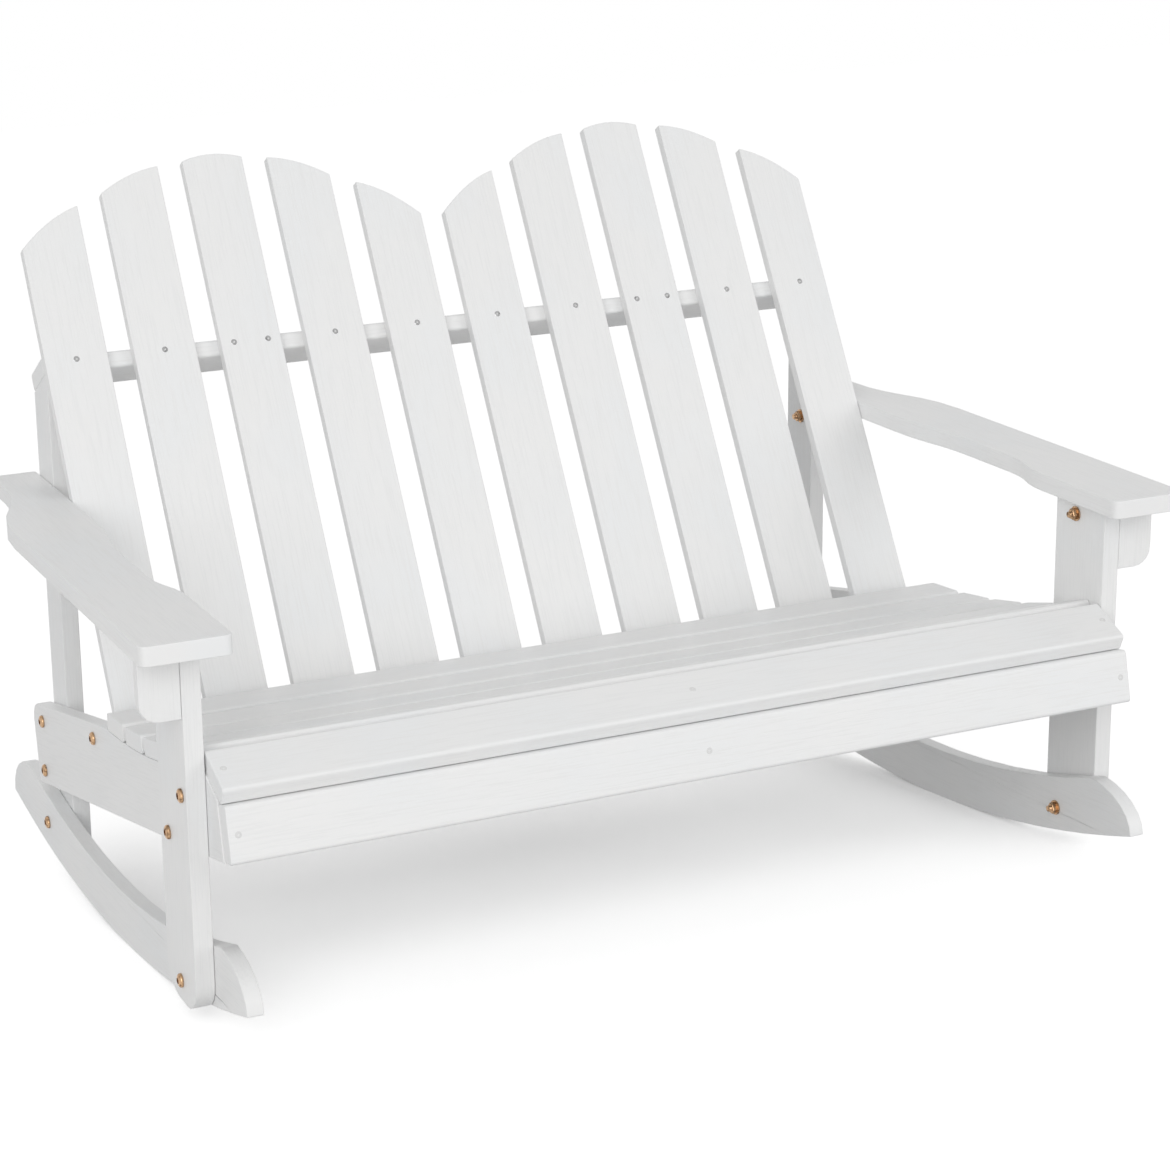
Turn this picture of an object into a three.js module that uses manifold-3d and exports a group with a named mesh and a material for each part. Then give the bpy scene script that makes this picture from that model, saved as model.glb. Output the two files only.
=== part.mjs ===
// Child's two-seat rocking bench of painted boards, in millimetres, +Z up.
//
// The boards are laid out in the bench's own frame: X to the right with 0 at the middle,
// Y to the back from the front face of the legs, Z up, with the legs upright. The whole
// bench then leans forward by restTilt, as it stands when nobody sits on it, and is moved
// so that the floor is at zero under the middle of its outline.
import * as THREE from 'three';
import { mergeVertices } from 'three/addons/utils/BufferGeometryUtils.js';
import Module from 'manifold-3d';

const wasm = await Module();
wasm.setup();

const radians = THREE.MathUtils.degToRad;

// Timber
const board = 18;
const railBoard = 15.7;
const thinBoard = 12;
const jointGap = 0.3;
const edgeRound = 3.5;
const roundSteps = 3;

// Seat: five slats that rise to the front, a nose board that falls, and an apron under it
const seatHalfWidth = 462.5;
const seatSlatCount = 5;
const seatSlatWidth = 54;
const seatSlatGap = 8.4;
const seatRear = new THREE.Vector2(316.5, 241.4);
const seatRearAngle = radians(5.8);
const seatAngleStep = radians(3.45);
const noseAngle = radians(21.9);
const noseGap = 1.1;
const noseStep = 2.3;
const frontBoardInset = 1.2;

// Side rails and the middle rail under the seat
const railFrontHeight = 50.9;
const railNoseLead = 7.7;
const railAngle = radians(13.25);
const railRearOverrun = 13.5;
const railRearHeight = 85.6;
const railEndLean = radians(10);
const railBackAngle = radians(13.3);
const railTopCornerRound = 20;
const railBottomCornerRound = 6;

// Front legs and rear posts
const legDepth = 84;
const legBottom = 60;
const legBottomRound = 30;
const postDepth = 54.5;
const postBottom = 20;

// Rockers: two arcs with their own centres, a rounded toe and a rounded heel
const rockerRadius = 1670;
const rockerLowestY = 471;
const rockerTopLowestY = 434.2;
const rockerRadiusDrop = 324.4;
const rockerRailGap = 6.8;
const rockerToeReach = 87.7;
const rockerToeRound = 67.9;
const rockerHeelReach = 133.8;
const rockerHeelRound = 77.6;
const rockerFootAngle = radians(0.8);
const rockerFrontSteps = 8;
const rockerRearSteps = 10;
const rockerTopSteps = 12;
const cornerSteps = 5;
const restTilt = radians(7.5);

// Back: ten slats that lean back, with heights along the slats from the seat's rear edge
const slatLean = radians(31.55);
const backGap = 35;
const backSlatWidth = 65;
const slatsPerArch = 5;
const archCount = 2;
const slatFoot = -55.5;
const slatTopOuter = [471, 524, 552.1];
const slatTopInner = [513.1, 549, 552.1];
const slatTopBulge = [5.8, 4.6, 5.5];
const slatTopSteps = 7;
const backRailDepth = 53.6;
const topRailHeight = 349.5;
const lowRailHeight = -28.5;

// Arms
const armFront = new THREE.Vector2(-42.6, 427.3);
const armPitch = radians(1.52);
const armRearOverhang = 14;
const armFrontOverhang = 46.4;
const armSideOverhang = 28;
const armTaperLength = 175;
const armTaperRear = 51;
const armInnerOverhang = 18.3;
const armWaistOverhang = 4.8;
const armWaistFront = 128;
const armWaistInLength = 80;
const armWaistOutLength = 140;
const armSlatLead = 66;
const armSlatGap = 0.5;
const armPostFollow = 4;
const armPostLead = 6.5;
const armOuterRound = 9;
const armInnerRound = 9;
const armRearRound = 5;
const armCurveSteps = 6;

// Pieces that carry the arms
const bracketWidth = 37.5;
const bracketHeight = 65;
const bracketRound = 18;
const cleatHeight = 32;

// Bolts
const boltRadius = 3;
const boltClearance = 0.6;
const boltSides = 12;
const headRadius = 6.5;
const headHeight = 4;
const headSteps = 3;
const headLip = 1.2;
const washerRadius = 7.5;
const washerThick = 1.4;
const nutAcross = 10;
const nutThick = 5;
const nutSides = 6;
const boltTail = 3;
const lagDepth = 45;
const lagTip = 6;

// Places of the bolts: behind a leg's front or before a leg's or post's rear face, and
// above a rail's bottom edge, under the arm, or as a share of a rocker's depth
const legUpperBack = 14;
const legUpperHeight = 59.5;
const legLowerBefore = 25.3;
const legLowerHeight = 19.4;
const legRockerBack = 42;
const legRockerShare = 0.427;
const legCleatBack = 49.2;
const legCleatDrop = 17;
const postUpperBefore = 13.4;
const postUpperHeight = 70;
const postLowerBefore = 12.8;
const postLowerHeight = 15.2;
const postRockerBefore = 11;
const postRockerShare = 0.497;
const postCleatBefore = 31.3;
const postCleatDrop = 15.7;

// Faces of the layers on each side, from the side rails outwards and inwards
const railOuter = seatHalfWidth;
const railInner = railOuter - railBoard;
const legInner = railOuter + jointGap;
const legOuter = legInner + board;
const postOuter = railInner - jointGap;
const postInner = postOuter - board;
const frontCleatInner = legOuter + jointGap;
const frontCleatOuter = frontCleatInner + board;
const rearCleatInner = postOuter + jointGap;
const rearCleatOuter = rearCleatInner + board;
const slatEdge = railInner - jointGap;
const boltHole = boltRadius + boltClearance;

/** The unit vector at an angle above the level line that runs to the back. */
function heading(angle) {
	return new THREE.Vector2(Math.cos(angle), Math.sin(angle));
}

/** The point that lies a distance along an angle from another. */
function stepFrom(point, angle, distance) {
	return point.clone().addScaledVector(heading(angle), distance);
}

/** Where two lines of the side view cross, each given by a point and an angle. */
function crossing(pointA, angleA, pointB, angleB) {
	const across = heading(angleB);
	const between = pointB.clone().sub(pointA);
	const distance = between.cross(across) / heading(angleA).cross(across);
	return stepFrom(pointA, angleA, distance);
}

/** An outline whose corners are rounded by the radius that each one states. */
function roundedOutline(corners, steps = roundSteps) {
	const outline = [];
	corners.forEach(({ point, radius = 0 }, index) => {
		if (radius === 0) {
			outline.push(point);
			return;
		}
		const before = corners.at(index - 1).point.clone().sub(point).normalize();
		const after = corners[(index + 1) % corners.length].point.clone().sub(point).normalize();
		const half = Math.acos(before.dot(after)) / 2;
		const centre = before.clone().add(after).setLength(radius / Math.sin(half)).add(point);
		const start = before.clone().multiplyScalar(radius / Math.tan(half)).add(point).sub(centre);
		const end = after.clone().multiplyScalar(radius / Math.tan(half)).add(point).sub(centre);
		const sweep = Math.atan2(start.cross(end), start.dot(end));
		for (let step = 0; step <= steps; step += 1) {
			outline.push(start.clone().rotateAround(new THREE.Vector2(), sweep * step / steps).add(centre));
		}
	});
	return outline;
}

/** A round hole in an outline. */
function roundHole(centre, radius) {
	return new THREE.Path().absarc(centre.x, centre.y, radius, 0, 2 * Math.PI, false);
}

/** A shape with round holes, extruded by a thickness. */
function cutOut(outline, thickness, holes = []) {
	const shape = new THREE.Shape(outline);
	shape.holes = holes.map((centre) => roundHole(centre, boltHole));
	return new THREE.ExtrudeGeometry(shape, { depth: thickness, bevelEnabled: false, curveSegments: boltSides });
}

/** A side-view outline extruded across the bench between two places on X. */
function acrossBench(outline, from, to, holes = []) {
	const body = cutOut(outline, to - from, holes);
	const layout = new THREE.Matrix4().makeBasis(
		new THREE.Vector3(0, 1, 0), new THREE.Vector3(0, 0, 1), new THREE.Vector3(1, 0, 0));
	return body.applyMatrix4(layout).translate(from, 0, 0);
}

/** A side-view outline as a board between two distances from the middle, on one side. */
function sideBoard(outline, side, inner, outer, holes = []) {
	return side > 0 ? acrossBench(outline, inner, outer, holes) : acrossBench(outline, -outer, -inner, holes);
}

/** The section of a board with rounded edges: its top runs at an angle from one corner. */
function boardSection(topCorner, angle, width, thickness) {
	const far = stepFrom(topCorner, angle, width);
	const down = angle - Math.PI / 2;
	return roundedOutline([
		{ point: topCorner, radius: edgeRound },
		{ point: stepFrom(topCorner, down, thickness), radius: edgeRound },
		{ point: stepFrom(far, down, thickness), radius: edgeRound },
		{ point: far, radius: edgeRound },
	]);
}

/** A closed geometry as a solid that can be joined and cut. */
function toSolid(geometry) {
	const bare = geometry.clone();
	bare.deleteAttribute('normal');
	bare.deleteAttribute('uv');
	const merged = mergeVertices(bare);
	return new wasm.Manifold(new wasm.Mesh({
		numProp: 3,
		vertProperties: new Float32Array(merged.attributes.position.array),
		triVerts: new Uint32Array(merged.index.array),
	}));
}

/** A solid as a geometry again. */
function toGeometry(solid) {
	const mesh = solid.getMesh();
	const geometry = new THREE.BufferGeometry();
	geometry.setAttribute('position', new THREE.BufferAttribute(new Float32Array(mesh.vertProperties), 3));
	geometry.setIndex(new THREE.BufferAttribute(new Uint32Array(mesh.triVerts), 1));
	geometry.computeVertexNormals();
	return geometry;
}

// Places that follow from the dimensions

/** The top rear corner and the angle of each seat slat, from the back to the front. */
function seatSlatLayout() {
	const layout = [];
	let corner = seatRear;
	for (let index = 0; index < seatSlatCount; index += 1) {
		const angle = seatRearAngle + seatAngleStep * index;
		layout.push({ corner, angle });
		const front = stepFrom(corner, Math.PI - angle, seatSlatWidth);
		corner = stepFrom(front, Math.PI - angle - seatAngleStep / 2, seatSlatGap);
	}
	return layout;
}

/** The top rear corner of the nose board, set by its underside's gap to the last slat. */
function noseCorner() {
	const { corner, angle } = seatSlats.at(-1);
	const front = stepFrom(corner, Math.PI - angle, seatSlatWidth);
	const under = stepFrom(front, -angle - Math.PI / 2, board);
	const forward = stepFrom(under, noseAngle + Math.PI, noseGap);
	return stepFrom(forward, noseAngle + Math.PI / 2, noseStep + board);
}

/** The line under a board whose top passes through a point: where a rail has to stop. */
function lineUnder(topPoint, angle) {
	return { point: stepFrom(topPoint, angle - Math.PI / 2, board + jointGap), angle };
}

/** A point of the side view, by its height along the back and its depth behind it. */
function slatPoint(height, behind) {
	const foot = seatRear.clone().add(new THREE.Vector2(backGap, 0));
	const up = stepFrom(foot, Math.PI / 2 - slatLean, height);
	return stepFrom(up, -slatLean, behind);
}

/** The height of the arms' undersides, less the joint's gap, at a place on Y. */
function underArm(y) {
	const under = stepFrom(armFront, -Math.PI / 2 - armPitch, board + jointGap);
	return under.y - Math.tan(armPitch) * (y - under.x);
}

/** Where a depth behind the back's front plane meets the arms' undersides, on Y. */
function backAtArm(behind) {
	const underside = new THREE.Vector2(0, underArm(0));
	return crossing(slatPoint(0, behind), Math.PI / 2 - slatLean, underside, -armPitch).x;
}

/** The height of the side rails' bottom edge at a place on Y. */
function railBottom(y) {
	return railFrontBottom.y - Math.tan(railAngle) * (y - railFrontBottom.x);
}

const railFace = Math.PI / 2 - railAngle;
const seatSlats = seatSlatLayout();
const noseRear = noseCorner();
const noseFront = stepFrom(noseRear, noseAngle + Math.PI, seatSlatWidth);
const noseLip = stepFrom(noseFront, noseAngle - Math.PI / 2, board);
const noseUnder = lineUnder(noseRear, noseAngle);
const slatUnders = seatSlats.map(({ corner, angle }) => lineUnder(corner, -angle));
const railFrontBottom = stepFrom(stepFrom(noseLip, -railAngle, railNoseLead), railFace, -railFrontHeight);
const postRear = slatPoint(topRailHeight - board / 2, thinBoard + backRailDepth).x;
const postFront = postRear - postDepth;
const lowRailBolt = slatPoint(lowRailHeight, thinBoard + backRailDepth / 2);
const railRearBottom = new THREE.Vector2(postRear + railRearOverrun, railBottom(postRear + railRearOverrun));
const backSlatCount = slatsPerArch * archCount;
const backSlatPitch = 2 * (slatEdge - backSlatWidth / 2) / (backSlatCount - 1);

/** The lowest point of the rockers' top arc, which clears the side rails' rear corners. */
function rockerCrown() {
	const radius = rockerRadius - rockerRadiusDrop;
	const inset = stepFrom(railRearBottom, -railAngle, -railBottomCornerRound);
	const corner = stepFrom(inset, railFace, railBottomCornerRound);
	const reach = radius - railBottomCornerRound - rockerRailGap;
	const rise = Math.sqrt(reach ** 2 - (corner.x - rockerTopLowestY) ** 2);
	return new THREE.Vector2(rockerTopLowestY, corner.y + rise - radius);
}

const rockerLow = { lowest: new THREE.Vector2(rockerLowestY, 0), radius: rockerRadius };
const rockerTop = { lowest: rockerCrown(), radius: rockerRadius - rockerRadiusDrop };

/** How far in front of an arc's lowest point a place on Y is, as an angle of the arc. */
function arcAngle({ lowest, radius }, y) {
	return Math.asin((lowest.x - y) / radius);
}

/** The point of an arc at an angle in front of its lowest point. */
function arcPoint({ lowest, radius }, angle) {
	const away = new THREE.Vector2(-Math.sin(angle), 1 - Math.cos(angle));
	return away.multiplyScalar(radius).add(lowest);
}

/** Points along an arc at even angles, both ends included. */
function arcPoints(arc, from, to, steps) {
	return Array.from({ length: steps + 1 }, (_, step) => arcPoint(arc, from + (to - from) * step / steps));
}

/** A place in a rocker, at a share of its depth above its underside. */
function inRocker(y, share) {
	const under = arcPoint(rockerLow, arcAngle(rockerLow, y));
	const top = arcPoint(rockerTop, arcAngle(rockerTop, y));
	return under.lerp(top, share);
}

/** A place above the side rails' bottom edge. */
function overRailBottom(y, height) {
	return new THREE.Vector2(y, railBottom(y) + height);
}

/** A place under the arms. */
function belowArm(y, drop) {
	return new THREE.Vector2(y, underArm(y) - drop);
}

const legRailUpper = overRailBottom(legUpperBack, legUpperHeight);
const legRailLower = overRailBottom(legDepth - legLowerBefore, legLowerHeight);
const legRocker = inRocker(legRockerBack, legRockerShare);
const legCleat = belowArm(legCleatBack, legCleatDrop);
const railPostUpper = overRailBottom(postRear - postUpperBefore, postUpperHeight);
const railPostLower = overRailBottom(postRear - postLowerBefore, postLowerHeight);
const rockerPost = inRocker(postRear - postRockerBefore, postRockerShare);
const postCleat = belowArm(postRear - postCleatBefore, postCleatDrop);

// Seat boards

function seatSlat({ corner, angle }) {
	const front = stepFrom(corner, Math.PI - angle, seatSlatWidth);
	return acrossBench(boardSection(front, -angle, seatSlatWidth, board), -seatHalfWidth, seatHalfWidth);
}

function noseBoard() {
	const half = seatHalfWidth - frontBoardInset;
	return acrossBench(boardSection(noseFront, noseAngle, seatSlatWidth, board), -half, half);
}

/** The board in front of the rails, as high as the nose board's rounded lip lets it be. */
function apron() {
	const bottom = stepFrom(railFrontBottom, Math.PI - railAngle, board + jointGap);
	const lipInset = stepFrom(noseLip, noseAngle, edgeRound);
	const lipCentre = stepFrom(lipInset, noseAngle + Math.PI / 2, edgeRound);
	const height = lipCentre.sub(bottom).dot(heading(railFace)) - edgeRound - jointGap;
	const half = seatHalfWidth - frontBoardInset;
	return acrossBench(boardSection(bottom, railFace, height, board), -half, half);
}

// Rails

/** The top of every rail under the seat, from its front end to behind the rearmost slat. */
function railCrown() {
	const crown = [crossing(railFrontBottom, railFace, noseUnder.point, noseUnder.angle)];
	const unders = [noseUnder, ...slatUnders.toReversed()];
	for (let index = 1; index < unders.length; index += 1) {
		const previous = unders[index - 1];
		const next = unders[index];
		crown.push(crossing(previous.point, previous.angle, next.point, next.angle));
	}
	return crown;
}

function sideRail(side) {
	const rearTop = stepFrom(railRearBottom, Math.PI / 2 - railEndLean, railRearHeight);
	const behindSeat = crossing(slatUnders[0].point, slatUnders[0].angle, rearTop, -railBackAngle);
	const outline = roundedOutline([
		{ point: railFrontBottom },
		{ point: railRearBottom, radius: railBottomCornerRound },
		{ point: rearTop, radius: railTopCornerRound },
		{ point: behindSeat },
		...railCrown().toReversed().map((point) => ({ point })),
	]);
	const holes = [legRailUpper, legRailLower, lowRailBolt, railPostUpper, railPostLower];
	return sideBoard(outline, side, railInner, railOuter, holes);
}

function middleRail() {
	const slatBack = slatPoint(0, thinBoard - jointGap);
	const leanLine = Math.PI / 2 - slatLean;
	const rearBottom = crossing(railFrontBottom, -railAngle, slatBack, leanLine);
	const rearTop = crossing(slatUnders[0].point, slatUnders[0].angle, slatBack, leanLine);
	const outline = [railFrontBottom, rearBottom, rearTop, ...railCrown().toReversed()];
	return acrossBench(outline, -board / 2, board / 2);
}

// Back

/** The outline of one back slat about its own middle; outerSide is the arch's fall side. */
function backSlatOutline(kind, outerSide) {
	const half = backSlatWidth / 2;
	const outline = [new THREE.Vector2(-half, slatFoot), new THREE.Vector2(half, slatFoot)];
	const left = outerSide < 0 ? slatTopOuter[kind] : slatTopInner[kind];
	const right = outerSide < 0 ? slatTopInner[kind] : slatTopOuter[kind];
	for (let step = 0; step <= slatTopSteps; step += 1) {
		const acrossShare = 1 - 2 * step / slatTopSteps;
		const height = (left + right) / 2 + (right - left) / 2 * acrossShare;
		outline.push(new THREE.Vector2(half * acrossShare, height + slatTopBulge[kind] * (1 - acrossShare ** 2)));
	}
	return outline;
}

/** The place of a back slat's middle on X, counted from the left. */
function backSlatCentre(index) {
	return (index - (backSlatCount - 1) / 2) * backSlatPitch;
}

/** The matrix that lays an outline of the back in its plane, front face outwards. */
function backLayout(x, behind) {
	const place = slatPoint(0, behind);
	const layout = new THREE.Matrix4().makeBasis(
		new THREE.Vector3(1, 0, 0),
		new THREE.Vector3(0, Math.sin(slatLean), Math.cos(slatLean)),
		new THREE.Vector3(0, -Math.cos(slatLean), Math.sin(slatLean)));
	return layout.setPosition(x, place.x, place.y);
}

function backSlat(index) {
	const inArch = index % slatsPerArch;
	const middle = (slatsPerArch - 1) / 2;
	const kind = middle - Math.abs(inArch - middle);
	const outerSide = Math.sign(inArch - middle) || 1;
	const body = cutOut(backSlatOutline(kind, outerSide), thinBoard);
	return body.applyMatrix4(backLayout(backSlatCentre(index), thinBoard));
}

/** The section of a rail behind the slats, at a height along the back. */
function backRailSection(height) {
	const topFront = slatPoint(height + board / 2, thinBoard + jointGap);
	return boardSection(topFront, -slatLean, backRailDepth - jointGap, board);
}

function topRail() {
	return acrossBench(backRailSection(topRailHeight), -postOuter, postOuter);
}

function lowRail() {
	const half = railInner - jointGap;
	const rail = toSolid(acrossBench(backRailSection(lowRailHeight), -half, half));
	const bores = [-1, 1].map((side) => {
		const bore = new THREE.CylinderGeometry(boltHole, boltHole, 2 * (lagDepth + boltTail), boltSides);
		return toSolid(bore.rotateZ(Math.PI / 2).translate(side * half, lowRailBolt.x, lowRailBolt.y));
	});
	return toGeometry(rail.subtract(bores[0]).subtract(bores[1]));
}

// Legs, posts and rockers

function frontLeg(side) {
	const outline = roundedOutline([
		{ point: new THREE.Vector2(0, legBottom), radius: legBottomRound },
		{ point: new THREE.Vector2(legDepth, legBottom), radius: legBottomRound },
		{ point: new THREE.Vector2(legDepth, underArm(legDepth)) },
		{ point: new THREE.Vector2(0, underArm(0)) },
	], cornerSteps);
	return sideBoard(outline, side, legInner, legOuter, [legRailUpper, legRailLower, legRocker, legCleat]);
}

function rearPost(side) {
	const leanLine = Math.PI / 2 - slatLean;
	const slatBack = slatPoint(0, thinBoard + jointGap);
	const railUnder = slatPoint(topRailHeight - board / 2 - jointGap, 0);
	const upright = Math.PI / 2;
	const outline = [
		new THREE.Vector2(postFront, postBottom),
		new THREE.Vector2(postRear, postBottom),
		crossing(new THREE.Vector2(postRear, 0), upright, railUnder, -slatLean),
		crossing(slatBack, leanLine, railUnder, -slatLean),
		crossing(new THREE.Vector2(postFront, 0), upright, slatBack, leanLine),
	];
	return sideBoard(outline, side, postInner, postOuter, [railPostUpper, railPostLower, rockerPost, postCleat]);
}

/** A quarter of an ellipse from the top edge down to an end of the rocker, ends left out. */
function rockerEnd(start, end) {
	return Array.from({ length: cornerSteps }, (_, step) => {
		const angle = Math.PI / 2 * (step + 1) / (cornerSteps + 1);
		return new THREE.Vector2(
			start.x + (end.x - start.x) * Math.sin(angle),
			end.y + (start.y - end.y) * Math.cos(angle));
	});
}

/** A rocker, whose underside has one level facet where the bench stands on the floor. */
function rocker(side) {
	const heelY = postRear + rockerHeelReach;
	const toeAngle = arcAngle(rockerLow, -rockerToeReach);
	const heelAngle = arcAngle(rockerLow, heelY);
	const front = arcPoints(rockerLow, toeAngle, restTilt + rockerFootAngle, rockerFrontSteps);
	const rear = arcPoints(rockerLow, restTilt - rockerFootAngle, heelAngle, rockerRearSteps);
	const topFrom = arcAngle(rockerTop, heelY - rockerHeelRound);
	const topTo = arcAngle(rockerTop, rockerToeRound - rockerToeReach);
	const top = arcPoints(rockerTop, topFrom, topTo, rockerTopSteps);
	const outline = [
		...front,
		...rear,
		...rockerEnd(top[0], rear.at(-1)).toReversed(),
		...top,
		...rockerEnd(top.at(-1), front[0]),
	];
	return sideBoard(outline, side, railInner, railOuter, [legRocker, rockerPost]);
}

// Arms and what carries them

/** Adds a smooth shift from one width to another along an arm's edge. */
function easeTo(path, width, end) {
	const start = path.currentPoint;
	const middle = (start.y + end) / 2;
	path.bezierCurveTo(start.x, middle, width, middle, width, end);
}

/** An arm's outline from above: x from the middle of the bench, y from the arm's front. */
function armOutline() {
	const outerWide = legOuter + armFrontOverhang;
	const outerNarrow = rearCleatOuter + armSideOverhang;
	const innerFront = legInner - armInnerOverhang;
	const innerWaist = legInner - armWaistOverhang;
	const innerRear = slatEdge + armSlatGap;
	const length = (postRear + armRearOverhang - armFront.x) / Math.cos(armPitch);
	const taperEnd = length - armTaperRear;
	const waistEnd = backAtArm(0) - armSlatLead - armFront.x;
	const slatEnd = backAtArm(thinBoard + board) + armPostFollow - armFront.x;
	const postStart = postFront - armPostLead - armFront.x;
	const path = new THREE.Shape();
	path.moveTo(innerFront + armInnerRound, 0);
	path.lineTo(outerWide - armOuterRound, 0);
	path.quadraticCurveTo(outerWide, 0, outerWide, armOuterRound);
	path.lineTo(outerWide, taperEnd - armTaperLength);
	easeTo(path, outerNarrow, taperEnd);
	path.lineTo(outerNarrow, length - armOuterRound);
	path.quadraticCurveTo(outerNarrow, length, outerNarrow - armOuterRound, length);
	path.lineTo(rearCleatInner + armRearRound, length);
	path.quadraticCurveTo(rearCleatInner, length, rearCleatInner, length - armRearRound);
	path.lineTo(rearCleatInner, postStart);
	path.lineTo(innerRear, slatEnd);
	path.lineTo(innerRear, waistEnd);
	easeTo(path, innerWaist, waistEnd - armWaistOutLength);
	path.lineTo(innerWaist, armWaistFront + armWaistInLength);
	easeTo(path, innerFront, armWaistFront);
	path.lineTo(innerFront, armInnerRound);
	path.quadraticCurveTo(innerFront, 0, innerFront + armInnerRound, 0);
	return path.getPoints(armCurveSteps);
}

function arm(side) {
	const outline = armOutline().map((point) => new THREE.Vector2(point.x * side, point.y));
	const body = cutOut(outline, board);
	const layout = new THREE.Matrix4().makeBasis(
		new THREE.Vector3(1, 0, 0),
		new THREE.Vector3(0, Math.cos(armPitch), -Math.sin(armPitch)),
		new THREE.Vector3(0, Math.sin(armPitch), Math.cos(armPitch)));
	const underside = stepFrom(armFront, -Math.PI / 2 - armPitch, board);
	return body.applyMatrix4(layout.setPosition(0, underside.x, underside.y));
}

function armBracket(side) {
	const inner = frontCleatInner;
	const outer = inner + bracketWidth;
	const top = underArm(thinBoard);
	const outline = roundedOutline([
		{ point: new THREE.Vector2(inner, top - bracketHeight) },
		{ point: new THREE.Vector2(outer, top - bracketHeight), radius: bracketRound },
		{ point: new THREE.Vector2(outer, top) },
		{ point: new THREE.Vector2(inner, top) },
	], cornerSteps).map((point) => new THREE.Vector2(point.x * side, point.y));
	const body = cutOut(outline, thinBoard);
	return body.rotateX(Math.PI / 2).translate(0, thinBoard, 0);
}

/** The outline of a cleat under an arm, between two places on Y. */
function cleatOutline(front, rear) {
	return [
		new THREE.Vector2(front, underArm(front) - cleatHeight),
		new THREE.Vector2(rear, underArm(rear) - cleatHeight),
		new THREE.Vector2(rear, underArm(rear)),
		new THREE.Vector2(front, underArm(front)),
	];
}

function frontCleat(side) {
	const outline = cleatOutline(thinBoard + jointGap, legDepth);
	return sideBoard(outline, side, frontCleatInner, frontCleatOuter, [legCleat]);
}

function rearCleat(side) {
	const outline = cleatOutline(postFront, postRear);
	return sideBoard(outline, side, rearCleatInner, rearCleatOuter, [postCleat]);
}

// Bolts

/** A domed head above zero on Y and a shank below it, which ends in a tip. */
function headAndShank(length, tip = 0) {
	const profile = [new THREE.Vector2(0, headHeight)];
	for (let step = 1; step <= headSteps; step += 1) {
		const angle = Math.PI / 2 * step / headSteps;
		profile.push(new THREE.Vector2(
			headRadius * Math.sin(angle), headLip + (headHeight - headLip) * Math.cos(angle)));
	}
	profile.push(
		new THREE.Vector2(headRadius, 0), new THREE.Vector2(boltRadius, 0),
		new THREE.Vector2(boltRadius, tip - length), new THREE.Vector2(0, -length));
	return new THREE.LatheGeometry(profile.toReversed(), boltSides);
}

/** A washer at a depth below zero on Y, with a six-sided nut under it. */
function nutAndWasher(depth) {
	const washer = new THREE.CylinderGeometry(washerRadius, washerRadius, washerThick, boltSides);
	washer.translate(0, -depth - washerThick / 2, 0);
	const stack = washerThick + nutThick;
	const nutRadius = nutAcross / 2 / Math.cos(Math.PI / nutSides);
	const nut = new THREE.CylinderGeometry(nutRadius, nutRadius, stack, nutSides);
	nut.translate(0, -depth - stack / 2, 0);
	return toSolid(washer).add(toSolid(nut));
}

/** A bolt through the layers of one side, at a place in the side view. */
function bolt(side, place, outerFace, innerFace) {
	const depth = outerFace - innerFace + 2 * jointGap;
	const shank = toSolid(headAndShank(depth + washerThick + nutThick + boltTail));
	const body = toGeometry(shank.add(nutAndWasher(depth)));
	return placeBolt(body, side, place, outerFace);
}

/** A pointed coach bolt that ends in the timber. */
function coachBolt(side, place, outerFace, tipFace) {
	return placeBolt(headAndShank(outerFace - tipFace + jointGap, lagTip), side, place, outerFace);
}

/** Turns a bolt's head outwards on one side and puts it on the outermost board. */
function placeBolt(body, side, place, outerFace) {
	body.rotateZ(-side * Math.PI / 2);
	return body.translate(side * (outerFace + jointGap), place.x, place.y);
}

// The bench

const white = { color: 0xe4e4e2, roughness: 0.5, metalness: 0 };
const brass = { color: 0xb98a5a, roughness: 0.35, metalness: 1 };
const bench = new THREE.Group();

function add(name, geometry, finish) {
	const mesh = new THREE.Mesh(geometry, new THREE.MeshStandardMaterial(finish));
	mesh.name = name;
	bench.add(mesh);
}

seatSlats.forEach((slat, index) => add(`seat_slat_${index + 1}`, seatSlat(slat), white));
add('seat_nose_board', noseBoard(), white);
add('seat_apron', apron(), white);
add('middle_seat_rail', middleRail(), white);
for (let index = 0; index < backSlatCount; index += 1) {
	add(`back_slat_${index + 1}`, backSlat(index), white);
}
add('top_back_rail', topRail(), white);
add('lower_back_rail', lowRail(), white);

const sideBoards = { side_rail: sideRail, front_leg: frontLeg, rear_post: rearPost, rocker, arm,
	arm_bracket: armBracket, front_arm_cleat: frontCleat, rear_arm_cleat: rearCleat };
const sideBolts = {
	bolt_leg_rail_upper: [legRailUpper, legOuter, railInner],
	bolt_leg_rail_lower: [legRailLower, legOuter, railInner],
	bolt_leg_rocker: [legRocker, legOuter, railInner],
	bolt_leg_cleat: [legCleat, frontCleatOuter, legInner],
	bolt_rail_post_upper: [railPostUpper, railOuter, postInner],
	bolt_rail_post_lower: [railPostLower, railOuter, postInner],
	bolt_rocker_post: [rockerPost, railOuter, postInner],
	bolt_post_cleat: [postCleat, rearCleatOuter, postInner],
};
for (const [word, side] of [['left', -1], ['right', 1]]) {
	for (const [name, make] of Object.entries(sideBoards)) {
		add(`${name}_${word}`, make(side), white);
	}
	for (const [name, faces] of Object.entries(sideBolts)) {
		add(`${name}_${word}`, bolt(side, ...faces), brass);
	}
	add(`coach_bolt_back_rail_${word}`, coachBolt(side, lowRailBolt, railOuter, railInner - lagDepth), brass);
}

bench.rotation.x = restTilt;
bench.updateMatrixWorld(true);
const outlineBox = new THREE.Box3().setFromObject(bench, true);
const middle = outlineBox.getCenter(new THREE.Vector3());
bench.position.set(-middle.x, -middle.y, -outlineBox.min.z);

export default bench;
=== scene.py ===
"""Looks of the white painted rocking bench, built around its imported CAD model."""
import math

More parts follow.
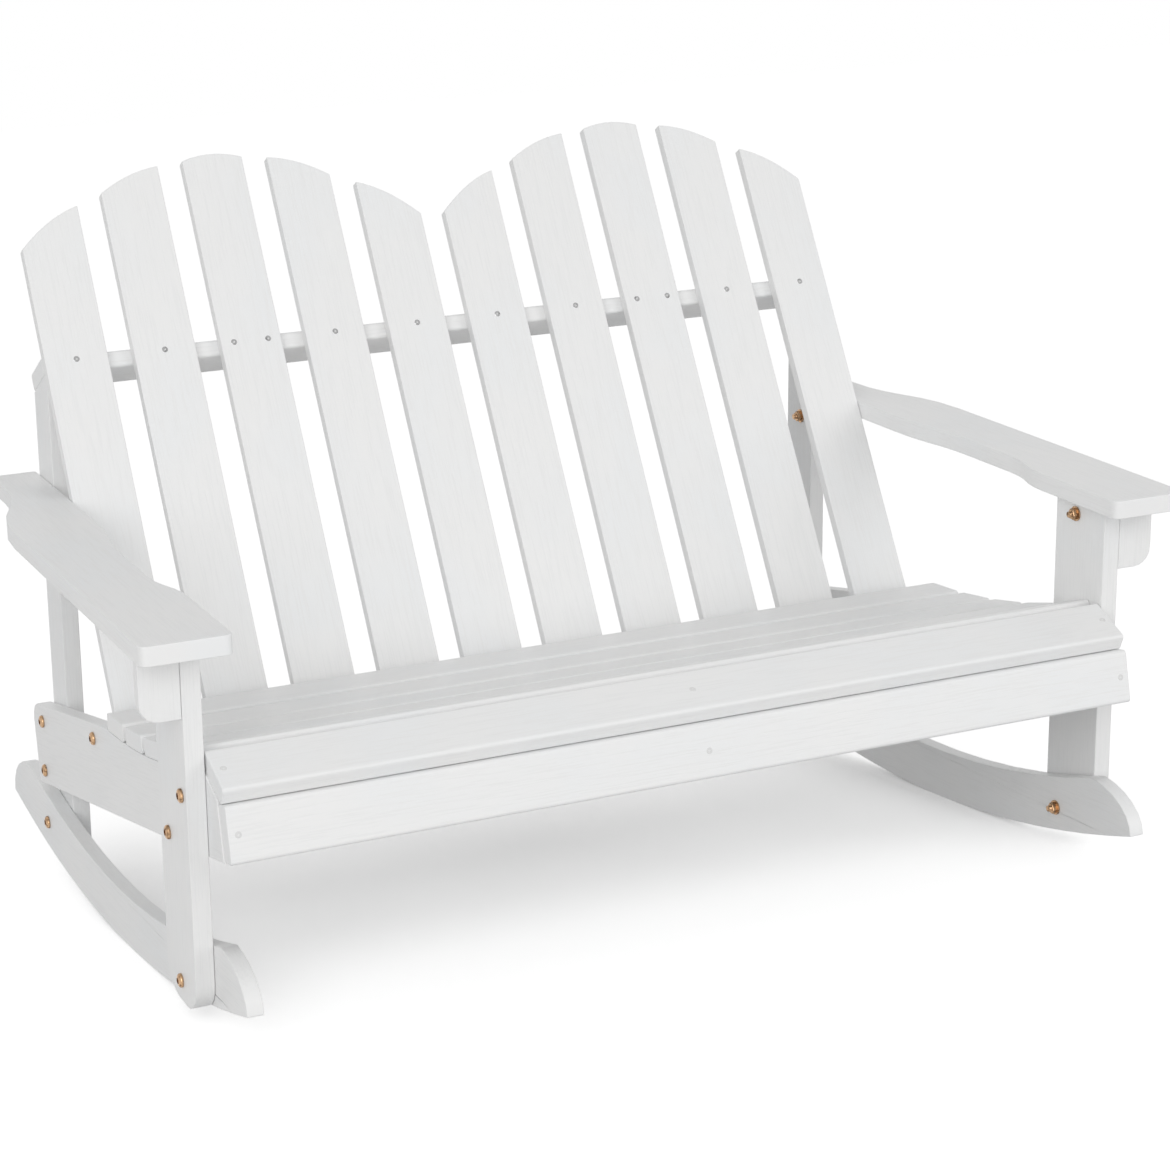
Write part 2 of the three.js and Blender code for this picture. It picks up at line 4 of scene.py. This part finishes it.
import bmesh
import bpy
from mathutils import Matrix, Vector


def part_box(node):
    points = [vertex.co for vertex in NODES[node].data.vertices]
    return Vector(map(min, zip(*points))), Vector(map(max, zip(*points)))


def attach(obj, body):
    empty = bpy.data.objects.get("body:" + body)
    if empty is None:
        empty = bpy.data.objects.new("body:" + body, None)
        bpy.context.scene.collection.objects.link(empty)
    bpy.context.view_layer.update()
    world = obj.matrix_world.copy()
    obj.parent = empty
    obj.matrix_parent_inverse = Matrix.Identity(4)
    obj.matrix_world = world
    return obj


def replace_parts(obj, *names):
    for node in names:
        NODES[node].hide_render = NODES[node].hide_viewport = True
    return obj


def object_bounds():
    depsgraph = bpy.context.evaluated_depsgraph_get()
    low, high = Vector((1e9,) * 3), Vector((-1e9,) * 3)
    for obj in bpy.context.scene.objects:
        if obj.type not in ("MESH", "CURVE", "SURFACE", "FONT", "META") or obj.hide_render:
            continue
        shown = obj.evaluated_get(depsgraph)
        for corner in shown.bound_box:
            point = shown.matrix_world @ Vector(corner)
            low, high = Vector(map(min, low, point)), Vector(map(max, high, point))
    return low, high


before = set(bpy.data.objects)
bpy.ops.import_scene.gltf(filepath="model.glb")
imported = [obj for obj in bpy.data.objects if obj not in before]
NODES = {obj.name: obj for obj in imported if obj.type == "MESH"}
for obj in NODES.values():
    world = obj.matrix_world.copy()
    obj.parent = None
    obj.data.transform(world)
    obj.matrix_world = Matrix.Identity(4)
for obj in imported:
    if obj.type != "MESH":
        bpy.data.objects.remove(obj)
cad_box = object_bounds()
MM = 0.001
FULL_TURN = 2 * math.pi
QUARTER_TURN = math.pi / 2
UPWARDS = (0, 0, 1)
FORWARDS = (0, -1, 0)

# Camera, in the bench's frame, with its lens and sensor in millimetres
CAMERA_PLACE = (-1.16125, -2.75323, 0.86463)
CAMERA_AZIMUTH = math.radians(24.345)
CAMERA_PITCH = math.radians(9.4125)
CAMERA_ROLL = math.radians(-3.6411)
CAMERA_LENS = 90.835
CAMERA_SENSOR = 36.0
CAMERA_SHIFT = (-0.0145, -0.0684)

# Colours, linear
WHITE = (1, 1, 1)
PAINT = (0.87, 0.87, 0.866)
PAINT_COOL = (0.857, 0.866, 0.87)
PAINT_GROOVE = (0.84, 0.842, 0.84)
PAINTED_SCREW = (0.74, 0.74, 0.735)
BRASS = (0.56, 0.36, 0.21)
BRASS_DARK = (0.11, 0.06, 0.032)
ZINC = (0.42, 0.42, 0.42)
ZINC_DARK = (0.16, 0.16, 0.16)
FLOOR = (0.68, 0.68, 0.68)

# Lamps, in metres and watts, and the even light around the bench
KEY = {"place": (-2.9, -4.2, 1.7), "size": 3.2, "power": 90}
FILL = {"place": (2.7, -3.7, 1.4), "size": 2.6, "power": 38}
WORLD_LIGHT = 0.565

# Floor: half its side, and the glow that the camera sees. A painted shadow dims the glow where an
# ambient-occlusion test finds the bench within the shadow's reach, in the direction that the shadow
# faces.
FLOOR_HALF = 30
FLOOR_ROUGH = 0.9
FLOOR_GLOW = 0.63
PAINTED_SHADOW_REACH = 0.65
PAINTED_SHADOW_FACING = (-0.1, -0.92, 0.38)
PAINTED_SHADOW_SPAN = (0.17, 0.77)

# Boards' edges: the bevel, and what counts as one flat face of the imported model
EDGE_ROUND = 1.0 * MM
EDGE_STEPS = 3
EDGE_ANGLE = math.radians(40)
EDGE_WEIGHT = 80
WELD = 0.02 * MM
FLAT_ANGLE = math.radians(0.5)
LONG_BOARD = 300 * MM

# Grain: features per metre across it, the share of them that is left along it, and its depth
STREAK_SCALE = 620
STREAK_ALONG = 0.035
STREAK_SPAN = (0.34, 0.52)
STREAK_SHARE = 0.85
FIGURE_SCALE = 55
FIGURE_ALONG = 0.04
FIGURE_DISTORTION = 0.8
FIGURE_RINGS = 9
RING_MIDDLE = 0.5
RING_SPAN = (0, 0.25)
END_SPAN = (0.55, 0.8)
TONE_SCALE = 9
TONE_SPAN = (0.4, 0.7)
GRAIN_DEPTH = 0.09 * MM
GRAIN_STRENGTH = 0.7
PAINT_ROUGH = 0.36
PAINT_ROUGH_SPREAD = 0.14

# Metal: patches and scratches per metre, and how metallic the paler zinc looks
PATINA_SCALE = 260
PATINA_DETAIL = 4
PATINA_SPAN = (0.45, 0.75)
SCRATCH_SCALE = 2600
SCRATCH_DEPTH = 0.03 * MM
SCRATCH_STRENGTH = 0.6
METAL_ROUGH = 0.26
METAL_ROUGH_SPREAD = 0.25
BRASS_METALLIC = 1
ZINC_METALLIC = 0.75

# Turned solids
ROUND_SIDES = 36
HEX_SIDES = 6
SMOOTH_ANGLE = math.radians(35)

# Bolts: the sizes that the CAD's bolts have, their finer details, and each next one's twist
HEAD_RADIUS = 6.5 * MM
HEAD_HEIGHT = 4 * MM
HEAD_LIP = 1.2 * MM
HEAD_STEPS = 8
SOCKET_RADIUS = 3.1 * MM
SOCKET_RIM = 0.4 * MM
SOCKET_RISE = 0.15 * MM
SOCKET_DEPTH = 2.2 * MM
SHANK_RADIUS = 3 * MM
WASHER_RADIUS = 7.5 * MM
WASHER_THICK = 1.4 * MM
NUT_RADIUS = 5.77 * MM
NUT_THICK = 5 * MM
NUT_CHAMFER = 0.7 * MM
THREAD_PITCH = 1 * MM
THREAD_DEPTH = 0.3 * MM
BOLT_TAIL = 3 * MM
COACH_TIP = 6 * MM
BOLT_TWIST = 0.7

# Wood screws: the head with its cross recess, the rows' places, and each next one's twist
SCREW_RADIUS = 3.1 * MM
SCREW_TOP_RADIUS = 2.6 * MM
SCREW_ROOT_RADIUS = 1.5 * MM
SCREW_PROUD = 0.35 * MM
SCREW_DEPTH = 1.6 * MM
CROSS_REACH = 1.7 * MM
CROSS_WIDTH = 0.8 * MM
CROSS_DEPTH = 0.8 * MM
CROSS_TAPER = 0.55
CROSS_ARMS = 4
SCREW_TWIST = 1.1
SLAT_COUNT = 10
PAIR_SLATS = (3, 8)
PAIR_SPREAD = 18.4 * MM
RAIL_SCREW_X = 452 * MM
NORMAL_DIGITS = 2


# Materials

class Material:
    """A node material with short calls to add nodes and to link them."""

    def __init__(self, name, **shader):
        self.material = bpy.data.materials.new(name)
        self.material.use_nodes = True
        self.nodes = self.material.node_tree.nodes
        self.shader = self.nodes["Principled BSDF"]
        coordinates = self.add("TexCoord", {})
        self.place = coordinates.outputs["Object"]
        self.normal = coordinates.outputs["Normal"]
        for socket, value in shader.items():
            self.feed(self.shader.inputs[socket.replace("_", " ")], value)

    def feed(self, socket, value):
        if isinstance(value, bpy.types.NodeSocket):
            self.material.node_tree.links.new(value, socket)
        elif socket.type == "RGBA":
            socket.default_value = (*value, 1)
        else:
            socket.default_value = value

    def add(self, kind, settings, **inputs):
        node = self.nodes.new("ShaderNode" + kind)
        for name, value in settings.items():
            setattr(node, name, value)
        for name, value in inputs.items():
            self.feed(node.inputs[name.replace("_", " ")], value)
        return node

    def noise(self, place, scale, detail=2, distortion=0):
        inputs = {"Vector": place, "Scale": scale, "Detail": detail, "Distortion": distortion}
        return self.add("TexNoise", {}, **inputs).outputs["Fac"]

    def math(self, operation, first, second=0):
        node = self.add("Math", {"operation": operation})
        self.feed(node.inputs[0], first)
        self.feed(node.inputs[1], second)
        return node.outputs["Value"]

    def between(self, value, span):
        """The value's way through a span, as 0 to 1 with soft ends."""
        settings = {"interpolation_type": "SMOOTHSTEP"}
        node = self.add("MapRange", settings, Value=value, From_Min=span[0], From_Max=span[1])
        return node.outputs["Result"]

    def mix(self, factor, first, second):
        node = self.add("Mix", {"data_type": "RGBA"})
        colours = [socket for socket in node.inputs if socket.type == "RGBA"]
        self.feed(node.inputs["Factor"], factor)
        self.feed(colours[0], first)
        self.feed(colours[1], second)
        return next(socket for socket in node.outputs if socket.type == "RGBA")

    def turned(self, vector, turn):
        return self.add("Mapping", {}, Vector=vector, Rotation=turn).outputs["Vector"]

    def drawn_out(self, place, share):
        """A place in which a pattern keeps only a share of its features along Y."""
        return self.add("Mapping", {}, Vector=place, Scale=(1, share, 1)).outputs["Vector"]

    def finish(self, colour, roughness, height, depth, strength):
        bump = self.add("Bump", {}, Height=height, Distance=depth, Strength=strength)
        self.feed(self.shader.inputs["Base Color"], colour)
        self.feed(self.shader.inputs["Roughness"], roughness)
        self.feed(self.shader.inputs["Normal"], bump.outputs["Normal"])
        return self.material


def painted_wood(name, turn):
    """White paint over shallow grain that runs along Y once a place has been turned."""
    wood = Material(name)
    place = wood.turned(wood.place, turn)
    streaks = wood.noise(wood.drawn_out(place, STREAK_ALONG), STREAK_SCALE)
    figure = wood.noise(wood.drawn_out(place, FIGURE_ALONG), FIGURE_SCALE, distortion=FIGURE_DISTORTION)
    rings = wood.math("FRACT", wood.math("MULTIPLY", figure, FIGURE_RINGS))
    ring = wood.between(wood.math("ABSOLUTE", wood.math("SUBTRACT", rings, RING_MIDDLE)), RING_SPAN)
    relief = wood.math("MULTIPLY", wood.between(streaks, STREAK_SPAN), STREAK_SHARE)
    relief = wood.math("ADD", relief, wood.math("MULTIPLY", ring, 1 - STREAK_SHARE))
    facing = wood.add("SeparateXYZ", {}, Vector=wood.turned(wood.normal, turn))
    end = wood.between(wood.math("ABSOLUTE", facing.outputs["Y"]), END_SPAN)
    relief = wood.math("MAXIMUM", relief, end)
    tone = wood.noise(place, TONE_SCALE)
    paint = wood.mix(wood.between(tone, TONE_SPAN), PAINT, PAINT_COOL)
    colour = wood.mix(relief, PAINT_GROOVE, paint)
    roughness = wood.math("ADD", PAINT_ROUGH, wood.math("MULTIPLY", tone, PAINT_ROUGH_SPREAD))
    return wood.finish(colour, roughness, relief, GRAIN_DEPTH, GRAIN_STRENGTH)


def aged_metal(name, bright, dark, metallic):
    """A metal with darker patches and fine scratches."""
    metal = Material(name, Metallic=metallic)
    patina = metal.between(metal.noise(metal.place, PATINA_SCALE, detail=PATINA_DETAIL), PATINA_SPAN)
    roughness = metal.math("ADD", METAL_ROUGH, metal.math("MULTIPLY", patina, METAL_ROUGH_SPREAD))
    scratches = metal.noise(metal.place, SCRATCH_SCALE)
    colour = metal.mix(patina, bright, dark)
    return metal.finish(colour, roughness, scratches, SCRATCH_DEPTH, SCRATCH_STRENGTH)


# Objects

def turn_about(axis, angle):
    return Matrix.Rotation(angle, 4, axis)


def scene_object(name, data):
    """A new object of the scene."""
    thing = bpy.data.objects.new(name, data)
    bpy.context.scene.collection.objects.link(thing)
    return thing


def mesh_object(name, mesh):
    """A new object of the scene from a built mesh, which is used up."""
    data = bpy.data.meshes.new(name)
    mesh.to_mesh(data)
    mesh.free()
    return scene_object(name, data)


def smooth_faces(data):
    data.polygons.foreach_set("use_smooth", [True] * len(data.polygons))


def new_piece(name, mesh, material):
    """A mesh as a smooth piece that rides on the bench."""
    bmesh.ops.recalc_face_normals(mesh, faces=mesh.faces)
    piece = mesh_object(name, mesh)
    piece.data.materials.append(material)
    smooth_faces(piece.data)
    piece.data.set_sharp_from_angle(angle=SMOOTH_ANGLE)
    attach(piece, "root")
    return piece


# Boards

def grain_turn(node):
    """The turn that lays a board's longest direction along Y, as an Euler rotation."""
    low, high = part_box(node.name)
    if high.x - low.x > LONG_BOARD:
        return (0, 0, QUARTER_TURN)
    points = [vertex.co for vertex in node.data.vertices]
    middle = sum(points, Vector()) / len(points)
    spread_y = sum((point.y - middle.y) ** 2 for point in points)
    spread_z = sum((point.z - middle.z) ** 2 for point in points)
    skew = sum((point.y - middle.y) * (point.z - middle.z) for point in points)
    twice_the_slope = math.atan2(2 * skew, spread_y - spread_z)
    return (-twice_the_slope / 2, 0, 0)


def round_edges(board):
    """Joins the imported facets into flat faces, rounds the edges and smooths the curves."""
    weld = board.modifiers.new("weld", "WELD")
    weld.merge_threshold = WELD
    flat = board.modifiers.new("flat_faces", "DECIMATE")
    flat.decimate_type = "DISSOLVE"
    flat.angle_limit = FLAT_ANGLE
    edges = board.modifiers.new("rounded_edges", "BEVEL")
    edges.width = EDGE_ROUND
    edges.segments = EDGE_STEPS
    edges.limit_method = "ANGLE"
    edges.angle_limit = EDGE_ANGLE
    edges.use_clamp_overlap = False
    board.modifiers.new("smooth_edges", "WEIGHTED_NORMAL").weight = EDGE_WEIGHT
    smooth_faces(board.data)


def dress_boards():
    """Gives each board rounded edges and a paint whose grain runs along the board."""
    paints = {}
    for name, node in NODES.items():
        if "bolt" in name:
            continue
        turn = grain_turn(node)
        key = tuple(round(math.degrees(angle)) for angle in turn)
        if key not in paints:
            paints[key] = painted_wood(f"painted_wood_{len(paints) + 1}", turn)
        node.data.materials.clear()
        node.data.materials.append(paints[key])
        round_edges(node)


# Turned solids

def ring_of_vertices(mesh, radius, height, sides):
    """Vertices evenly around Z. A radius of zero makes a single one."""
    if radius == 0:
        return [mesh.verts.new((0, 0, height))]
    ring = []
    for side in range(sides):
        angle = FULL_TURN * side / sides
        ring.append(mesh.verts.new((radius * math.cos(angle), radius * math.sin(angle), height)))
    return ring


def bridge(mesh, lower, upper):
    """Faces between two rings, of which one may be a single vertex."""
    sides = max(len(lower), len(upper))
    for side in range(sides):
        after = (side + 1) % sides
        corners = [lower[side % len(lower)], lower[after % len(lower)],
                   upper[after % len(upper)], upper[side % len(upper)]]
        mesh.faces.new(list(dict.fromkeys(corners)))


def lathe(mesh, profile, sides=ROUND_SIDES):
    """The rings and the skin that (radius, height) pairs make about Z, with open ends."""
    rings = [ring_of_vertices(mesh, radius, height, sides) for radius, height in profile]
    for lower, upper in zip(rings, rings[1:]):
        bridge(mesh, lower, upper)
    return rings


def turned_solid(mesh, profile, sides=ROUND_SIDES):
    """The same with flat ends."""
    rings = lathe(mesh, profile, sides)
    mesh.faces.new(rings[0])
    mesh.faces.new(rings[-1])


# Bolts

def dome_profile():
    """A bolt's head from its rim on the board to the edge of the socket."""
    profile = [(HEAD_RADIUS, 0)]
    for step in range(HEAD_STEPS + 1):
        angle = QUARTER_TURN * step / HEAD_STEPS
        radius = HEAD_RADIUS * math.cos(angle)
        if radius > SOCKET_RADIUS + SOCKET_RIM:
            profile.append((radius, HEAD_LIP + (HEAD_HEIGHT - HEAD_LIP) * math.sin(angle)))
    return profile


def add_head(mesh):
    """A domed head on the level zero, with a six-sided socket."""
    profile = dome_profile()
    rings = lathe(mesh, profile)
    mesh.faces.new(rings[0])
    top = profile[-1][1] + SOCKET_RISE
    brim = ring_of_vertices(mesh, SOCKET_RADIUS, top, HEX_SIDES)
    floor = ring_of_vertices(mesh, SOCKET_RADIUS, top - SOCKET_DEPTH, HEX_SIDES)
    bridge(mesh, brim, floor)
    mesh.faces.new(floor)
    per_corner = ROUND_SIDES // HEX_SIDES
    for corner in range(HEX_SIDES):
        places = range(corner * per_corner, (corner + 1) * per_corner + 1)
        arc = [rings[-1][place % ROUND_SIDES] for place in places]
        mesh.faces.new([*arc, brim[(corner + 1) % HEX_SIDES], brim[corner]])


def add_nut(mesh, top):
    """A six-sided nut from a level downwards, chamfered at its end."""
    bottom = top - NUT_THICK
    flats = NUT_RADIUS * math.cos(math.pi / HEX_SIDES)
    profile = [(NUT_RADIUS, top), (NUT_RADIUS, bottom + NUT_CHAMFER), (flats, bottom)]
    turned_solid(mesh, profile, HEX_SIDES)


def thread_profile(top):
    """The thread of a bolt's tail below a level, as rings of crests and roots."""
    profile = [(SHANK_RADIUS, top)]
    for turn in range(round(BOLT_TAIL / THREAD_PITCH)):
        crest = top - THREAD_PITCH * turn
        profile.append((SHANK_RADIUS - THREAD_DEPTH, crest - THREAD_PITCH / 2))
        profile.append((SHANK_RADIUS, crest - THREAD_PITCH))
    return profile


def bolt_mesh(length, has_nut):
    """A bolt along Z with its head's seat at zero and its end at -length."""
    mesh = bmesh.new()
    add_head(mesh)
    if has_nut:
        tail = BOLT_TAIL - length
        washer = tail + NUT_THICK + WASHER_THICK
        turned_solid(mesh, [(SHANK_RADIUS, 0), (SHANK_RADIUS, washer)])
        turned_solid(mesh, [(WASHER_RADIUS, washer), (WASHER_RADIUS, washer - WASHER_THICK)])
        add_nut(mesh, washer - WASHER_THICK)
        turned_solid(mesh, thread_profile(tail))
    else:
        tip = (THREAD_DEPTH, -length)
        turned_solid(mesh, [(SHANK_RADIUS, 0), (SHANK_RADIUS, COACH_TIP - length), tip])
    return mesh


def dress_bolts(brass):
    """Puts a finer bolt in the place of each bolt of the CAD."""
    for index, name in enumerate(sorted(name for name in NODES if "bolt" in name)):
        low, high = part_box(name)
        outwards = 1 if high.x > 0 else -1
        mesh = bolt_mesh(high.x - low.x - HEAD_HEIGHT, has_nut=not name.startswith("coach"))
        seat = (high.x if outwards > 0 else low.x) - outwards * HEAD_HEIGHT
        middle = (low + high) / 2
        upright = turn_about("Y", outwards * QUARTER_TURN)
        twist = turn_about("Z", BOLT_TWIST * index)
        mesh.transform(Matrix.Translation((seat, middle.y, middle.z)) @ upright @ twist)
        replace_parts(new_piece(f"fine_{name}", mesh, brass), name)


# Screws

def cross_outline(scale, height):
    """The corners of a cross about Z at a height."""
    half = CROSS_WIDTH / 2
    corners = []
    for arm in range(CROSS_ARMS):
        turn = turn_about("Z", FULL_TURN * arm / CROSS_ARMS)
        for x, y in ((CROSS_REACH, -half), (CROSS_REACH, half), (half, half)):
            corners.append(turn @ Vector((x * scale, y * scale, height)))
    return corners


def screw_mesh():
    """A countersunk screw head about Z with a cross recess, its rim at the level zero."""
    mesh = bmesh.new()
    profile = [(SCREW_ROOT_RADIUS, -SCREW_DEPTH), (SCREW_RADIUS, 0), (SCREW_TOP_RADIUS, SCREW_PROUD)]
    rings = lathe(mesh, profile)
    mesh.faces.new(rings[0])
    recess = SCREW_PROUD - CROSS_DEPTH
    brim = [mesh.verts.new(corner) for corner in cross_outline(1, SCREW_PROUD)]
    floor = [mesh.verts.new(corner) for corner in cross_outline(CROSS_TAPER, recess)]
    bridge(mesh, brim, floor)
    mesh.faces.new(floor)
    edges = []
    for ring in (brim, rings[-1]):
        for index, corner in enumerate(ring):
            edges.append(mesh.edges.get((corner, ring[(index + 1) % len(ring)])))
    bmesh.ops.triangle_fill(mesh, use_beauty=True, edges=edges)
    return mesh


def broad_face(name, facing):
    """The middle and the normal of a board's broad face that looks most along a direction."""
    faces = {}
    for facet in NODES[name].data.polygons:
        key = tuple(round(value, NORMAL_DIGITS) for value in facet.normal)
        moment, area, normal = faces.get(key, (Vector(), 0, facet.normal.copy()))
        faces[key] = (moment + facet.center * facet.area, area + facet.area, normal)

    def area_seen(face):
        moment, area, normal = face
        return area * max(0, normal.dot(Vector(facing)))

    moment, area, normal = max(faces.values(), key=area_seen)
    return moment / area, normal


def seat_screws():
    """Name, place and direction of the screws at the ends and the middle of the front boards."""
    rows = []
    for board, facing in (("seat_nose_board", UPWARDS), ("seat_apron", FORWARDS)):
        middle, normal = broad_face(board, facing)
        for word, x in (("left", -RAIL_SCREW_X), ("middle", 0), ("right", RAIL_SCREW_X)):
            rows.append((f"screw_{board}_{word}", Vector((x, middle.y, middle.z)), normal))
    return rows


def back_screws():
    """Name, place and direction of the screws that hold the back slats to their two rails."""
    rows = []
    for rail in ("top_back_rail", "lower_back_rail"):
        rail_low, rail_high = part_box(rail)
        for slat in range(1, SLAT_COUNT + 1):
            low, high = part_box(f"back_slat_{slat}")
            middle, normal = broad_face(f"back_slat_{slat}", FORWARDS)
            place = (rail_low + rail_high) / 2
            place.x = (low.x + high.x) / 2
            place += normal * (middle - place).dot(normal)
            offsets = (-PAIR_SPREAD, PAIR_SPREAD) if slat in PAIR_SLATS else (0,)
            for number, offset in enumerate(offsets, start=1):
                rows.append((f"screw_{rail}_{slat}_{number}", place + Vector((offset, 0, 0)), normal))
    return rows


def dress_screws(rows, material):
    """Sets a screw head flush in a board at each place."""
    for index, (name, place, normal) in enumerate(rows):
        mesh = screw_mesh()
        turn = Vector(UPWARDS).rotation_difference(normal).to_matrix().to_4x4()
        mesh.transform(Matrix.Translation(place) @ turn @ turn_about("Z", SCREW_TWIST * index))
        new_piece(name, mesh, material)


# Stage, light and camera

def rays_that_see(tree):
    """One for the rays that show a surface, and zero for those that light the bench with it."""
    path = tree.nodes.new("ShaderNodeLightPath")
    seen = path.outputs["Is Camera Ray"]
    for ray in ("Is Glossy Ray", "Is Transmission Ray"):
        either = tree.nodes.new("ShaderNodeMath")
        either.operation = "MAXIMUM"
        tree.links.new(seen, either.inputs[0])
        tree.links.new(path.outputs[ray], either.inputs[1])
        seen = either.outputs["Value"]
    return seen


def floor_material():
    """Pale and plain, with a white glow for the camera that a painted shadow from an occlusion test dims.
    """
    surface = Material("floor", Base_Color=FLOOR, Roughness=FLOOR_ROUGH, Specular_IOR_Level=0,
                       Emission_Color=WHITE)
    seen = rays_that_see(surface.material.node_tree)
    # Painted shadow: the camera's glow dims where ambient occlusion, tilted forwards and up, finds the
    # bench
    facing = surface.add("CombineXYZ", {}, **dict(zip("XYZ", PAINTED_SHADOW_FACING)))
    painted_shadow_openness = surface.add("AmbientOcclusion", {}, Normal=facing.outputs["Vector"], Distance=PAINTED_SHADOW_REACH)
    share = surface.between(painted_shadow_openness.outputs["AO"], PAINTED_SHADOW_SPAN)
    glow = surface.math("MULTIPLY", share, FLOOR_GLOW)
    surface.feed(surface.shader.inputs["Emission Strength"], surface.math("MULTIPLY", seen, glow))
    return surface.material


def add_floor():
    """A pale floor that the camera sees as white, and that keeps the bench's shadow, partly real and
    partly painted.
    """
    mesh = bmesh.new()
    bmesh.ops.create_grid(mesh, x_segments=1, y_segments=1, size=FLOOR_HALF)
    floor = mesh_object("floor", mesh)
    floor.data.materials.append(floor_material())


def add_world():
    """An even pale light, seen as white behind the floor's far edge."""
    world = bpy.data.worlds.new("studio")
    bpy.context.scene.world = world
    world.use_nodes = True
    tree = world.node_tree
    strength = tree.nodes.new("ShaderNodeMapRange")
    strength.inputs["To Min"].default_value = WORLD_LIGHT
    strength.inputs["To Max"].default_value = 1
    tree.links.new(rays_that_see(tree), strength.inputs["Value"])
    background = tree.nodes["Background"]
    background.inputs["Color"].default_value = (*WHITE, 1)
    tree.links.new(strength.outputs["Result"], background.inputs["Strength"])


def add_lamp(name, place, size, power):
    """A soft square lamp that looks at the middle of the bench."""
    light = bpy.data.lights.new(name, "AREA")
    light.size = size
    light.energy = power
    lamp = scene_object(name, light)
    lamp.location = place
    target = (Vector(cad_box[0]) + Vector(cad_box[1])) / 2
    lamp.rotation_euler = (target - Vector(place)).to_track_quat("-Z", "Y").to_euler()


def add_camera():
    """The camera at the photograph's angle: level along Y, then turned, pitched and rolled."""
    data = bpy.data.cameras.new("camera")
    data.sensor_width = CAMERA_SENSOR
    data.lens = CAMERA_LENS
    data.shift_x, data.shift_y = CAMERA_SHIFT
    camera = scene_object("camera", data)
    camera.location = CAMERA_PLACE
    aim = turn_about("Z", -CAMERA_AZIMUTH) @ turn_about("X", QUARTER_TURN - CAMERA_PITCH)
    camera.rotation_euler = (aim @ turn_about("Z", CAMERA_ROLL)).to_euler()
    bpy.context.scene.camera = camera


add_camera()
add_floor()
add_world()
add_lamp("key", **KEY)
add_lamp("fill", **FILL)
bpy.context.scene.view_settings.view_transform = "Standard"

dress_boards()
dress_bolts(aged_metal("bolt_brass", BRASS, BRASS_DARK, BRASS_METALLIC))
dress_screws(back_screws(), aged_metal("screw_zinc", ZINC, ZINC_DARK, ZINC_METALLIC))
painted_screw = Material("screw_painted", Base_Color=PAINTED_SCREW).material
dress_screws(seat_screws(), painted_screw)
